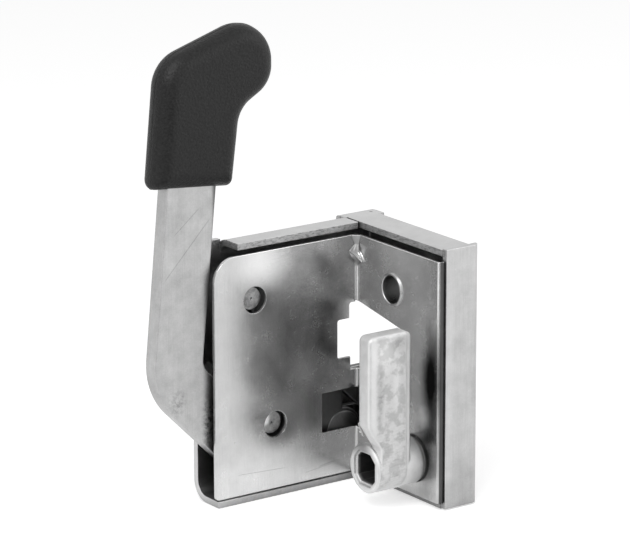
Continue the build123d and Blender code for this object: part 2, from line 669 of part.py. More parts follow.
def tongue_blade():
    """The slab that stands on the hub, flush with its front, with a stepped rim along one edge."""
    front = HUB_Y + HUB_RADIUS - BLADE_SETBACK
    rear = front - BLADE_THICKNESS
    rim_end = BLADE_START + BLADE_RIM_WIDTH
    side = outline(
        [
            (rim_end, HUB_Z),
            (BLADE_FOOT, HUB_Z),
            (BLADE_FOOT, HUB_Z + HUB_RADIUS),
            (BLADE_REACH, BLADE_TOE_HEIGHT),
            (BLADE_REACH, BLADE_TOP),
            (rim_end, BLADE_TOP),
        ],
        [(2, BLADE_FOOT_RADIUS), (3, BLADE_TOE_RADIUS), (4, BLADE_CORNER_RADIUS)],
    )
    slab = seen_from_lever_face(side, front, rear)
    faces = slab.faces().sort_by(Axis.Y)
    rim = [edge for face in (faces[0], faces[-1]) for edge in face.outer_wire().edges()]
    rounded = [edge for edge in rim if edge.center().X > rim_end + 1 and edge.center().Z > HUB_Z + 1]
    slab = fillet(rounded, BLADE_EDGE)
    strip = outline(
        [
            (BLADE_START, HUB_Z),
            (rim_end + 1, HUB_Z),
            (rim_end + 1, BLADE_TOP - HUB_STEP),
            (BLADE_START, BLADE_TOP - HUB_STEP),
        ],
        [(3, BLADE_RIM_WIDTH)],
    )
    lip = seen_from_lever_face(strip, front - HUB_STEP, rear + HUB_STEP)
    faces = lip.faces().sort_by(Axis.Y)
    rim = [edge for face in (faces[0], faces[-1]) for edge in face.outer_wire().edges()]
    rounded = [edge for edge in rim if edge.center().X < rim_end and edge.center().Z > HUB_Z + 1]
    return slab + fillet(rounded, BLADE_EDGE)


def locking_tongue():
    """The casting: a long hub across the tongue arm with a blade standing on it."""
    rim_end = BLADE_START + BLADE_RIM_WIDTH
    hub = pin_along_x(HUB_Y, HUB_Z, HUB_RADIUS, HUB_LENGTH, rim_end)
    hub = chamfer(hub.edges().group_by(Axis.X)[-1], HUB_EDGE)
    hub += pin_along_x(HUB_Y, HUB_Z, HUB_RADIUS - HUB_STEP, rim_end, HUB_SHOULDER)
    hub += pin_along_x(HUB_Y, HUB_Z, NECK_RADIUS, HUB_SHOULDER, CRANK_FRONT)
    seat = Pos(HUB_Y, HUB_Z) * double_flat(NECK_RADIUS, HUB_FLAT)
    hub += seen_from_tongue_face(seat, CRANK_FRONT, CRANK_BACK)
    hub += pin_along_x(HUB_Y, HUB_Z, JOURNAL_RADIUS, CRANK_BACK, BACK_X + JOURNAL_END_GAP)
    ring = Pos(HUB_Y, HUB_Z) * (Circle(JOURNAL_RADIUS + 1) - Circle(JOURNAL_RADIUS - CIRCLIP_GROOVE))
    groove = CIRCLIP_GROOVE_CLEARANCE
    hub -= seen_from_tongue_face(ring, CIRCLIP_FRONT + groove, CIRCLIP_BACK - groove)
    tongue = hub + tongue_blade()
    socket = socket_section(SOCKET_SIZE, SOCKET_CORNER)
    tongue -= seen_from_tongue_face(socket, HUB_LENGTH + 1, BACK_X - 1)
    mouth = socket_section(SOCKET_MOUTH_SIZE, SOCKET_MOUTH_CORNER)
    tongue -= seen_from_tongue_face(mouth, HUB_LENGTH + 1, HUB_LENGTH - SOCKET_MOUTH_DEPTH)
    return tongue


def crank_arm():
    hub = Pos(HUB_Y, HUB_Z) * Circle(CRANK_HUB_RADIUS)
    eye = Pos(CRANK_PIN_Y, CRANK_PIN_Z) * Circle(CRANK_EYE_RADIUS)
    plate = make_hull((hub + eye).edges())
    plate -= Pos(HUB_Y, HUB_Z) * double_flat(NECK_RADIUS + CRANK_CLEARANCE, HUB_FLAT + CRANK_CLEARANCE)
    plate -= Pos(CRANK_PIN_Y, CRANK_PIN_Z) * Circle(CRANK_PIN_RADIUS)
    arm = seen_from_tongue_face(plate, CRANK_FRONT - CRANK_CLEARANCE, CRANK_BACK)
    return arm


def crank_pin():
    pin = pin_along_x(CRANK_PIN_Y, CRANK_PIN_Z, CRANK_PIN_RADIUS, -COVER_SHEET - CRANK_PIN_END_GAP, CRANK_BACK)
    return chamfer(pin.edges().group_by(Axis.X)[-1], PIN_EDGE)


def shaft_circlip():
    """The open ring in the journal's groove, with two eyes at its mouth."""
    inside = JOURNAL_RADIUS - CIRCLIP_GROOVE
    middle = inside + CIRCLIP_LUG_RADIUS + CIRCLIP_GROOVE
    mouth = radians(CIRCLIP_MOUTH / 2)
    reach = 2 * SHAFT_BUSH_RADIUS
    wedge = make_face(
        Polyline(
            (0, 0),
            (-reach * sin(mouth), reach * cos(mouth)),
            (reach * sin(mouth), reach * cos(mouth)),
            close=True,
        )
    )
    ring = Circle(inside + CIRCLIP_WIDTH) - Circle(inside) - wedge
    for side in (-1, 1):
        spot = Pos(side * middle * sin(mouth), middle * cos(mouth))
        ring += spot * Circle(CIRCLIP_LUG_RADIUS) - Circle(inside)
        ring -= spot * Circle(CIRCLIP_LUG_HOLE_RADIUS)
    return seen_from_tongue_face(Pos(HUB_Y, HUB_Z) * ring, CIRCLIP_FRONT, CIRCLIP_BACK)


def shaft_bush():
    """A flanged bush pressed through the casing's back wall for the tongue's journal."""
    bush = pin_along_x(HUB_Y, HUB_Z, SHAFT_BUSH_RADIUS, WALL_X, BACK_X)
    bush += pin_along_x(HUB_Y, HUB_Z, SHAFT_BUSH_FLANGE_RADIUS, WALL_X + SHAFT_BUSH_FLANGE, WALL_X)
    bush -= pin_along_x(HUB_Y, HUB_Z, JOURNAL_RADIUS + RUNNING_CLEARANCE, 0, BACK_X - 1)
    sink = BACK_X + SHAFT_BUSH_SINK_DEPTH
    bush -= pin_along_x(HUB_Y, HUB_Z, SHAFT_BUSH_SINK_RADIUS, sink, BACK_X - 1)
    return bush


def fixing_tube():
    """The tube through both sheets, with its front end rolled into a round lip."""
    tube = pin_along_x(FIXING_Y, FIXING_Z, FIXING_TUBE_RADIUS, FIXING_LIP, BACK_X)
    tube -= pin_along_x(FIXING_Y, FIXING_Z, FIXING_BORE / 2, FIXING_LIP + 1, BACK_X - 1)
    rim = tube.edges().group_by(Axis.X)[-1]
    return fillet(rim, FIXING_TUBE_WALL * 0.45)


def tangent_point(centre, radius, target, side):
    """Where the line from target touches the circle, on the given side."""
    dx = target[0] - centre[0]
    dz = target[1] - centre[1]
    reach = hypot(dx, dz)
    angle = atan2(dz, dx) + side * atan2(sqrt(reach**2 - radius**2), radius)
    return (centre[0] + radius * cos(angle), centre[1] + radius * sin(angle))


def between(start, end, count):
    """Points on a straight line, without its end."""
    steps = [index / count for index in range(count)]
    return [tuple(p + (q - p) * t for p, q in zip(start, end)) for t in steps]


def lever_spring():
    """A coil round the rear spacer, with a long leg on the anchor pin and a hook in the lever."""
    centre = (PIVOT_X, PIVOT_Z)
    coil = SPACER_RADIUS + SPRING_COIL_CLEARANCE + SPRING_WIRE / 2
    front = LEVER_BACK - FACE_GAP - SPRING_WIRE / 2
    back = front - SPRING_COIL_LENGTH
    touch = PIN_RADIUS + SPRING_WIRE / 2 + FACE_GAP
    reach = hypot(ANCHOR_X - PIVOT_X, ANCHOR_Z - PIVOT_Z)
    along = ((ANCHOR_X - PIVOT_X) / reach, (ANCHOR_Z - PIVOT_Z) / reach)
    tilt = (coil - touch) / reach
    level = sqrt(1 - tilt**2)
    side = (-along[1] * level + along[0] * tilt, along[0] * level + along[1] * tilt)
    start = (centre[0] + coil * side[0], centre[1] + coil * side[1])
    rest = (ANCHOR_X + touch * side[0], ANCHOR_Z + touch * side[1])
    run = hypot(rest[0] - start[0], rest[1] - start[1])
    beyond = 1 + SPRING_LEG_OVERRUN / run
    end = (start[0] + (rest[0] - start[0]) * beyond, start[1] + (rest[1] - start[1]) * beyond)
    hook = (SPRING_HOOK_X, SPRING_HOOK_Z)
    leave = tangent_point(centre, coil, hook, -1)
    first = atan2(start[1] - centre[1], start[0] - centre[0])
    last = atan2(leave[1] - centre[1], leave[0] - centre[0])
    turned = (last - first) % (2 * pi) + 2 * pi * SPRING_WHOLE_TURNS
    wire = between((end[0], back, end[1]), (start[0], back, start[1]), SPRING_LEG_POINTS)
    for index in range(SPRING_COIL_POINTS):
        share = index / SPRING_COIL_POINTS
        rise = share - sin(2 * pi * share) / (2 * pi) * SPRING_END_EASE
        angle = first + turned * share
        wire.append(
            (
                centre[0] + coil * cos(angle),
                back + (front - back) * rise,
                centre[1] + coil * sin(angle),
            )
        )
    length = hypot(hook[0] - leave[0], hook[1] - leave[1])
    ahead = ((hook[0] - leave[0]) / length, (hook[1] - leave[1]) / length)
    turn_in = (hook[0] - SPRING_HOOK_BEND * ahead[0], front, hook[1] - SPRING_HOOK_BEND * ahead[1])
    wire += between((leave[0], front, leave[1]), turn_in, SPRING_LEG_POINTS)
    for index in range(SPRING_BEND_POINTS):
        angle = pi / 2 * index / SPRING_BEND_POINTS
        short = SPRING_HOOK_BEND * (1 - sin(angle))
        wire.append(
            (
                hook[0] - short * ahead[0],
                front + SPRING_HOOK_BEND * (1 - cos(angle)),
                hook[1] - short * ahead[1],
            )
        )
    tip = LEVER_BACK + SPRING_HOOK_DEPTH - 1
    wire += [(hook[0], front + SPRING_HOOK_BEND, hook[1]), (hook[0], tip, hook[1])]
    path = Spline(*wire)
    return sweep(Plane(origin=path @ 0, z_dir=path % 0) * Circle(SPRING_WIRE / 2), path=path)


def lock_parts():
    bush_clear = PIN_RADIUS + RUNNING_CLEARANCE
    washer_back = LEVER_LAP_BACK - RUNNING_CLEARANCE
    return {
        "outer_casing": outer_casing(),
        "inner_cover": inner_cover(),
        "fixing_tube": fixing_tube(),
        "lever_pivot_pin": shouldered_pin(PIVOT_X, PIVOT_Z),
        "pivot_front_washer": ring_along_y(
            PIVOT_X, PIVOT_Z, PIVOT_WASHER_RADIUS, PIN_RADIUS + PIN_HOLE_CLEARANCE,
            -COVER_SHEET, LEVER_FRONT + FACE_GAP,
        ),
        "pivot_rear_spacer": ring_along_y(
            PIVOT_X, PIVOT_Z, SPACER_RADIUS, bush_clear, LEVER_BACK - FACE_GAP, WALL_Y
        ),
        "spring_anchor_pin": shouldered_pin(ANCHOR_X, ANCHOR_Z),
        "lever_spring": lever_spring(),
        "shaft_bush": shaft_bush(),
        "hand_lever": hand_lever(),
        "lever_grip": lever_grip(),
        "lever_bush": ring_along_y(PIVOT_X, PIVOT_Z, BUSH_RADIUS, bush_clear, LEVER_FRONT, LEVER_BACK),
        "link_rivet": link_rivet(),
        "link_washer": ring_along_y(
            RIVET_X, RIVET_Z, LINK_EYE_RADIUS, RIVET_RADIUS + RUNNING_CLEARANCE,
            washer_back, washer_back - LINK_WASHER_THICKNESS,
        ),
        "connecting_link": connecting_link(),
        "locking_tongue": locking_tongue(),
        "crank_arm": crank_arm(),
        "crank_pin": crank_pin(),
        "shaft_circlip": shaft_circlip(),
    }


os.makedirs("parts", exist_ok=True)
placing = Rot(0, 0, 180) * Pos(0, -FIXING_Y, -FIXING_Z)
for node, shape in lock_parts().items():
    export_step(placing * shape, f"parts/{node}.step")
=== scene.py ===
"""Looks for a right-angled anti-burst lock: a bent sheet casing, a hand lever with a black grip
and a cast locking tongue. Blender's objects are in metres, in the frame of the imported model.
Places and sizes on the lock are given in mm on the drawing's axes, and those of the floor, the
card, the camera and the lamps in metres."""

import math

import bmesh
import bpy
import numpy as np
from mathutils import Matrix, Vector


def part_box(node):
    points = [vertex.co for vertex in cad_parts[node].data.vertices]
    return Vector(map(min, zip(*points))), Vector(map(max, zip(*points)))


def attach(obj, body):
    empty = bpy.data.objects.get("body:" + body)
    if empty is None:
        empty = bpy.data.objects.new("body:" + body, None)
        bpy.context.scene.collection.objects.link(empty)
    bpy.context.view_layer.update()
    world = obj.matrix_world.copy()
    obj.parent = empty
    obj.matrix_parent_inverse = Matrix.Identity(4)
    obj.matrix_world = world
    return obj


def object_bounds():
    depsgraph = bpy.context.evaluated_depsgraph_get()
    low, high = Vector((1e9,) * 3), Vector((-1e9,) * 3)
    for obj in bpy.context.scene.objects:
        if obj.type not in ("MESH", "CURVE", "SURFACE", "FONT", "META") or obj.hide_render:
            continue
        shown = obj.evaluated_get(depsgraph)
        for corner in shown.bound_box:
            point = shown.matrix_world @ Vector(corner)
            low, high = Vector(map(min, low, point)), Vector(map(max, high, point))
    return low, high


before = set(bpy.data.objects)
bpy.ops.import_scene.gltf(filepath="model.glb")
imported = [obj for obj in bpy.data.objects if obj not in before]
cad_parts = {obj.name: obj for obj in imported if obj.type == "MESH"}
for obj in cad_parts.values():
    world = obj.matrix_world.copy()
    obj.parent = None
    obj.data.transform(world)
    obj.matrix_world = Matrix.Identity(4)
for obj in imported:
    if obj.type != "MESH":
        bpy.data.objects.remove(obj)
cad_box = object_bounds()
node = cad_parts

# The drawing's own axes, in mm: along the lever arm and out along the tongue arm, both from the
# cover's bend, and high from the underside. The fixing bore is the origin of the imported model.
FIXING_OUT = 27.0
FIXING_HIGH = 96.7
MM_SCALE = (-1000.0, -1000.0, 1000.0)
MM_SHIFT = (0.0, FIXING_OUT, FIXING_HIGH)


def placed(points):
    """Drawing points (along, out, high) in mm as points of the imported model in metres."""
    return (points - np.array(MM_SHIFT)) / MM_SCALE


def drawn(name):
    """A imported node's lowest and highest corners in drawing mm."""
    corners = np.array([tuple(corner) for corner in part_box(name)]) * MM_SCALE + MM_SHIFT
    return corners.min(0), corners.max(0)


cover_end, cover_top = drawn("inner_cover")[1][1:]
lever_arm_end, tongue_arm_end = drawn("outer_casing")[1][:2]
tongue_low, tongue_high = drawn("locking_tongue")
blade_reach = tongue_high[0]
hub_out = (tongue_low[1] + tongue_high[1]) / 2
hub_high = tongue_low[2] + (tongue_high[1] - tongue_low[1]) / 2
grip_low, grip_high = drawn("lever_grip")

# Sizes of the solids that no box gives.
CASING_HIGH = 122.0
CASING_OPENING_LOW = 48.0
HUB_FRONT = 26.7
BLADE_START = 8.4


# Shader maths


class Wire:
    """A value or colour in a node tree. Arithmetic on it adds Math nodes."""

    def __init__(self, nodes, socket):
        self.nodes = nodes
        self.socket = socket

    def __add__(self, other):
        return self.nodes.math("ADD", self, other)

    def __sub__(self, other):
        return self.nodes.math("SUBTRACT", self, other)

    def __rsub__(self, other):
        return self.nodes.math("SUBTRACT", other, self)

    def __mul__(self, other):
        return self.nodes.math("MULTIPLY", self, other)

    def __pow__(self, other):
        return self.nodes.math("POWER", self, other)

    __radd__ = __add__
    __rmul__ = __mul__

    def between(self, low, high):
        """0 below low, 1 above high, and a smooth rise between them; falls when low is above high."""
        if low > high:
            return 1 - self.between(high, low)
        settings = {"interpolation_type": "SMOOTHSTEP"}
        return self.nodes.add("ShaderNodeMapRange", settings, {0: self, 1: low, 2: high, 3: 0, 4: 1})

    def near(self, place, core, fade):
        """1 within core of that place, 0 beyond fade, and smooth between them."""
        return self.between(place - fade, place - core) * self.between(place + fade, place + core)

    def spread(self, amount):
        """From -amount / 2 to amount / 2 as this goes from 0 to 1."""
        return (self - 0.5) * amount


class Nodes:
    """The empty node tree of a new material or world."""

    def __init__(self, owner):
        self.owner = owner
        owner.use_nodes = True
        self.tree = owner.node_tree
        self.tree.nodes.clear()

    def add(self, kind, settings=None, values=None, output=0):
        """A node of that type: settings first, then each socket's value or wire; gives one output."""
        made = self.tree.nodes.new(kind)
        for key, value in (settings or {}).items():
            setattr(made, key, value)
        for key, value in (values or {}).items():
            if isinstance(value, Wire):
                self.tree.links.new(value.socket, made.inputs[key])
            else:
                made.inputs[key].default_value = value
        return Wire(self, made.outputs[output]) if made.outputs else made

    def math(self, operation, *values, clamp=False):
        """The result of a Math node."""
        settings = {"operation": operation, "use_clamp": clamp}
        return self.add("ShaderNodeMath", settings, dict(enumerate(values)))

    def vector(self, operation, *values, output=0):
        """The result of a Vector Math node."""
        return self.add("ShaderNodeVectorMath", {"operation": operation}, dict(enumerate(values)), output)

    def split(self, vector):
        """The vector's three parts."""
        parts = self.add("ShaderNodeSeparateXYZ", values={0: vector}).socket.node.outputs
        return [Wire(self, part) for part in parts]


class Finish(Nodes):
    """A material that knows its place on the drawing in mm and which way its surface faces. Both
    are taken at rest, so the pattern moves with its piece."""

    def __init__(self, name):
        super().__init__(bpy.data.materials.new(name))
        place = self.add("ShaderNodeTexCoord", output="Object")
        self.mm = self.vector("MULTIPLY_ADD", place, MM_SCALE, MM_SHIFT)
        self.along, self.out, self.high = self.split(self.mm)
        facing = self.vector("MULTIPLY", self.add("ShaderNodeTexCoord", output="Normal"), (-1, -1, 1))
        self.faces_along, self.faces_out, self.faces_up = self.split(facing)

    def cloud(self, size, detail=4, rough=0.55, stretch=(1, 1, 1), turn=(0, 0, 0), seed=0):
        """Noise between 0 and 1 whose blobs are about size mm across, stretched and turned."""
        shift = (seed * 37.1, seed * 11.7, 0)
        place = {"Vector": self.mm, "Location": shift, "Rotation": turn, "Scale": stretch}
        where = self.add("ShaderNodeMapping", {"vector_type": "TEXTURE"}, place)
        values = {"Vector": where, "Scale": 1 / size, "Detail": detail, "Roughness": rough}
        return self.add("ShaderNodeTexNoise", None, values)

    def patch(self, centre, reach, amount):
        """amount * (1 - d^2)^2 inside an ellipsoid of those half sizes in mm, and 0 outside it."""
        scale = [1 / r for r in reach]
        shift = [-c / r for c, r in zip(centre, reach)]
        offset = self.vector("MULTIPLY_ADD", self.mm, scale, shift)
        distance_squared = self.vector("DOT_PRODUCT", offset, offset, output="Value")
        core = self.math("SUBTRACT", 1, distance_squared, clamp=True)
        return core * core * amount

    def stained_or_lit(self, shade, stains):
        """The shade with a patch added for each stain or patch of painted light or shade: its centre, its
        half sizes and its amount.
        """
        for stain in stains:
            shade = shade + self.patch(*stain)
        return shade

    def scratch(self, start, end, width):
        """1 on a straight line between two points, fading to 0 at half its width and at its ends."""
        start, end = np.array(start, float), np.array(end, float)
        length = np.linalg.norm(end - start)
        offset = self.vector("SUBTRACT", self.mm, tuple(start))
        run = self.vector("DOT_PRODUCT", offset, tuple((end - start) / length), output="Value")
        reach = self.vector("LENGTH", offset, output="Value")
        aside = self.math("MAXIMUM", reach * reach - run * run, 0) ** 0.5
        return aside.between(width / 2, 0) * run.between(0, length * 0.1) * run.between(length, length * 0.8)

    def scratched(self, lines):
        """All those scratches together."""
        return sum(self.scratch(*line) for line in lines)

    def rounded(self, radius):
        """The surface normal with sharp edges rounded over radius mm."""
        return self.add("ShaderNodeBevel", {"samples": 6}, {"Radius": radius / 1000})

    def edge_wear(self, rounded):
        """0 on flats and towards 1 at edges, where the rounded normal leaves the true one."""
        true = self.add("ShaderNodeNewGeometry", output="Normal")
        return (1 - self.vector("DOT_PRODUCT", rounded, true, output="Value")).between(0.0, 0.25)

    def painted_recess_shade(self, shade, reach, depth, starts=0.30, full=0.85):
        """Painted shade: the shade, darker by up to depth of itself where walls within reach mm shut out the
        sky.
        The painted shade starts where that share of the sky is lost, and is full at the other."""
        sky_left = self.add("ShaderNodeAmbientOcclusion", {"samples": 6}, {"Distance": reach / 1000}, "AO")
        return shade * (1 - (1 - sky_left).between(starts, full) * depth)

    def grey(self, tone):
        """The colour that lies tone of the way from black to white."""
        settings = {"data_type": "RGBA", "clamp_factor": True}
        return self.add("ShaderNodeMix", settings, {0: tone, 6: (0, 0, 0, 1), 7: (1, 1, 1, 1)}, output=2)

    def relief(self, height, depth, normal=None):
        """The surface normal after relief of that height, depth mm at most."""
        values = {"Height": height, "Distance": depth / 1000}
        if normal is not None:
            values["Normal"] = normal
        return self.add("ShaderNodeBump", None, values)

    def coat(self, **values):
        """The material, with a surface of those values."""
        named = {key.replace("_", " "): value for key, value in values.items()}
        shader = self.add("ShaderNodeBsdfPrincipled", None, named)
        self.add("ShaderNodeOutputMaterial", None, {0: shader})
        return self.owner


class PlatedSheet(Finish):
    """Zinc-plated sheet: a cloudy tone with fine rolling lines and slightly rounded edges."""

    def __init__(self, name, tone, roughness, lined):
        super().__init__(name)
        mottle = self.cloud(9, detail=5, rough=0.6)
        self.fine = self.cloud(0.55, detail=3, seed=2)
        self.lines = self.cloud(1.1, detail=2, stretch=(0.35, 0.35, 14), seed=3)
        self.normal = self.rounded(0.5)
        self.shade = tone + mottle.spread(0.22) + self.fine.spread(0.10) + self.lines.spread(lined)
        self.roughness = roughness + mottle.spread(0.16) + self.fine.spread(0.08)


# Finishes. A patch of painted light or shade, or a stain, is its centre (along, out, high), its half sizes
# and how much lighter it is.

# Painted reflections and painted shade on the polished cover's lever arm: the bright border and glare, the
# dark smoky middle and the dark halos beside the pins are all painted.
LEVER_ARM_PAINTED_REFLECTIONS = (
    ((73, 0, 70), (12, 9, 75), 0.04),  # along the free end
    ((52, 0, 112), (22, 9, 16), 0.26),  # bright glare under the top edge
    ((60, 0, 8), (40, 9, 22), 0.12),  # along the foot
    ((24, 0, 76), (30, 9, 44), -0.19),  # smoky middle
    ((9, 0, 104), (14, 9, 30), -0.22),  # top, beside the bend
    ((49, 0, 88), (16, 9, 20), -0.10),  # between the anchor pin and the middle
    ((32, 0, 56), (12, 9, 12), 0.10),  # lighter spot in the middle
    ((52, 0, 93), (10, 9, 10), -0.14),  # halo of the anchor pin
    ((43, 0, 30), (13, 9, 11), -0.24),  # halo of the pivot pin
    ((24, 0, 36), (9, 9, 22), -0.12),  # beside the window
    ((4, 0, 62), (13, 9, 34), -0.14),  # along the bend
    ((12, 0, 18), (22, 9, 14), -0.12),  # below the window
)
# Painted reflections and painted shade on the cover's tongue arm: its light upper part, the dark standing
# band behind the blade and the dark patches round the neck and beside the hub.
TONGUE_ARM_PAINTED_REFLECTIONS = (
    ((0, 6, 100), (3, 12, 34), 0.06),  # top, beside the bend
    ((0, 32, 100), (3, 46, 42), 0.66),  # the light upper part
    ((0, 42, 20), (3, 15, 15), -0.14),  # round the neck
    ((0, 54, 26), (3, 12, 26), -0.46),  # beside the hub
    ((0, 56.5, 61), (3, 10, 34), -0.58),  # dark standing band behind the blade
    ((0, 52, 42), (3, 6, 9), 0.24),  # lighter gap in that band
    ((0, 52, 80), (3, 1.6, 16), 0.10),  # thin upright streak
    ((0, 50, 4), (3, 30, 7), -0.10),  # along the foot
)
# A scratch is its start, its end and its width.
COVER_SCRATCHES = (
    ((68, 0, 13.5), (38, 0, 12.0), 0.5),
    ((22, 0, 9.0), (11, 0, 10.5), 0.6),
    ((30, 0, 7.4), (12, 0, 9.6), 0.4),
)


def cover_finish():
    """The polished inner cover. Its lever arm has a painted bright border round a painted dark smoky
    middle, with painted dark halos beside the two pins, and real handling marks low down. Its tongue
    arm has painted light above and painted shade along a standing band behind the blade and round
    the neck. A painted highlight makes its top edge catch more light than the others, and painted
    shade darkens its cut end and its recesses."""
    f = PlatedSheet("cover_zinc", tone=0.51, roughness=0.25, lined=0.10)
    # Painted highlight along the cover's top edge.
    top_edge_highlight = f.high.between(cover_top - 6, cover_top - 4.5)
    shade = f.shade + f.edge_wear(f.normal) * (0.04 + top_edge_highlight * 0.5)
    shade = f.stained_or_lit(shade, LEVER_ARM_PAINTED_REFLECTIONS + TONGUE_ARM_PAINTED_REFLECTIONS)
    shade = shade - f.scratched(COVER_SCRATCHES) * 0.18
    # Painted shade on the cut end of the tongue arm.
    cut_end_shade = f.out.between(cover_end - 0.5, cover_end - 0.1) * f.faces_out.between(0.7, 0.95)
    shade = shade * (1 - cut_end_shade * 0.85)
    return f.coat(
        Base_Color=f.grey(f.painted_recess_shade(shade, reach=5, depth=0.8, starts=0.46, full=0.95)),
        Metallic=1.0,
        Roughness=f.roughness,
        Normal=f.relief(f.lines * 0.6 + f.fine * 0.12, 0.010, f.normal),
    )


def crimp_finish():
    """The stretched sheet of the dart, duller than the cover, with painted shade in its folds."""
    f = PlatedSheet("crimp_zinc", tone=0.36, roughness=0.46, lined=0.06)
    return f.coat(
        Base_Color=f.grey(f.painted_recess_shade(f.shade, reach=1.6, depth=0.7, full=0.62)),
        Metallic=1.0,
        Roughness=f.roughness,
        Normal=f.relief(f.lines * 0.4 + f.fine * 0.6, 0.02, f.normal),
    )


# Real dark nicks in the top corner; darker patches round the foot and low on the tongue arm's end; painted
# shade over the tongue arm's end and its rear edge, and a painted reflection band near its front edge.
CASING_STAINS_AND_LIGHT = (
    ((-0.4, -15.4, 122), (2.2, 0.9, 2), -0.45),  # dark nick in the top corner
    ((-18.2, -13.9, 122), (1.2, 1.2, 2), -0.45),  # another behind it
    ((-12, 64, 60), (40, 8, 120), -0.08),  # the whole end of the tongue arm
    ((30, 0, 0), (90, 60, 5), -0.24),  # all round the foot
    ((-14, 64, 8), (18, 6, 26), -0.10),  # low on the tongue arm's end
    ((-24, 64, 60), (8, 6, 60), -0.06),  # the end's rear edge
    ((-5, 64, 60), (4, 6, 70), 0.06),  # a lighter band near its front edge
)
TRAY_END_LIGHT = ((76, -10, 9), (14, 12, 13), 0.12)
SLOT_BRIGHT_SPOT = ((72.3, -16, 60.8), (3.4, 2.5, 5.2), 1.0)


def casing_finish():
    """The duller outer casing, with torn, darker sheared edges along its top flanges, painted shade deep
    inside, painted light in the tray's open end and on a spot of the back wall beside the lever, and
    painted shade on the sill in its opening."""
    f = PlatedSheet("casing_zinc", tone=0.53, roughness=0.38, lined=0.10)
    specks = f.cloud(0.4, detail=0, seed=5).between(0.78, 0.83)
    torn = f.cloud(1.6, detail=6, rough=0.75, stretch=(1, 1, 0.35), seed=7)
    flanges = f.high.near(CASING_HIGH - 1.55, core=1.25, fade=1.85)
    flanges = flanges * f.out.between(tongue_arm_end - 0.8, tongue_arm_end - 1.6)
    sheared = flanges * f.math("ABSOLUTE", f.faces_up).between(0.8, 0.5)
    shade = f.shade + f.edge_wear(f.normal) * 0.16 + specks * 0.12
    shade = shade - sheared * (0.10 + torn.between(0.45, 0.62) * 0.22)
    # Painted shade deep inside the casing.
    shade = f.painted_recess_shade(f.stained_or_lit(shade, CASING_STAINS_AND_LIGHT), reach=24, depth=0.82, starts=0.40, full=0.78)
    # Painted light in the tray's open end and on a spot of the back wall beside the lever.
    shade = shade + f.patch(*TRAY_END_LIGHT) + f.patch(*SLOT_BRIGHT_SPOT).between(0.05, 0.35) * 0.8
    # Painted shade on the sill inside the casing's opening.
    sill = f.high.near(CASING_OPENING_LOW, core=0.5, fade=1.5) * f.faces_up.between(0.6, 0.9)
    return f.coat(
        Base_Color=f.grey(shade * (1 - sill * 0.85)),
        Metallic=1.0,
        Roughness=f.roughness + sheared * 0.2,
        Normal=f.relief(f.lines * 0.4 + f.fine * 0.4 + sheared * torn * 1.6, 0.03, f.normal),
    )


LEVER_DIRT = (
    ((80, -4, 40), (5, 9, 18), 0.34),  # beside the casing's mouth
    ((97, -4, 52), (7, 9, 10), 0.16),  # below the knee
)
LEVER_SCRATCHES = (
    ((104, -4.3, 109), (76, -4.3, 138), 0.8),
    ((98, -4.3, 130), (83, -4.3, 142), 0.7),
)
LEVER_SHOULDER_LIGHT = ((79.5, -8, 65), (5, 9, 6), 1.4)


def lever_finish():
    """The flat bar of the hand lever: pale dull zinc with long slanting scratches and dirt beside
    the casing, painted shade in its recesses and where it goes inside, and a painted glint on its shoulder."""
    f = Finish("lever_zinc")
    mottle = f.cloud(6, detail=6, rough=0.65)
    fine = f.cloud(0.7, detail=4, seed=1)
    drawn_lines = f.cloud(1.2, detail=2, stretch=(0.4, 0.4, 18), seed=4)
    blot = f.cloud(16, detail=3, seed=8)
    dirt = f.cloud(2.4, detail=6, rough=0.75, seed=5).between(0.42, 0.6)
    normal = f.rounded(0.7)
    scratches = f.scratched(LEVER_SCRATCHES)
    shade = 0.44 + mottle.spread(0.26) + fine.spread(0.12) + drawn_lines.spread(0.08) + blot.spread(0.16)
    shade = shade + f.edge_wear(normal) * 0.14 - scratches * 0.12
    shade = shade - sum(f.patch(*stain) for stain in LEVER_DIRT) * dirt
    # Painted shade where the bar goes inside the casing.
    inside = f.along.between(lever_arm_end - 0.5, lever_arm_end - 3)
    shade = f.painted_recess_shade(shade, reach=8, depth=0.8) * (1 - inside * 0.74)
    return f.coat(
        Base_Color=f.grey(shade + f.patch(*LEVER_SHOULDER_LIGHT) * f.faces_up.between(0.15, 0.5)),
        Metallic=1.0,
        Roughness=0.42 + mottle.spread(0.14),
        Normal=f.relief(fine * 0.5 + drawn_lines * 0.3 - scratches * 0.5, 0.03, normal),
    )


# Painted light and shade on the tongue: painted shade on the blade's top corner, in the crease between blade
# and hub and on the hub's front face, painted light on the blade's upper part, and painted reflections as the
# long dark and light streaks.
TONGUE_PAINTED_LIGHT = (
    ((15, 53, 80), (8, 4, 6), -0.10),  # the blade's top corner on the casing's side
    ((24, 53, 76), (9, 4, 13), 0.14),  # bright upper part of the blade
    ((26, 53, 58), (3, 4, 22), -0.12),  # long dark streak
    ((17, 53, 62), (3, 4, 20), 0.08),  # long light streak
    ((27, 40, 29), (2.5, 10, 8), -0.40),  # crease between blade and hub
    ((27, 42, 20), (1.6, 14, 14), -0.08),  # the hub's front face
)
# Painted shade fills the socket up to the first distance from the hub's axis, and is gone at the second.
SOCKET_DARK = 8.12
SOCKET_CLEAR = 8.72


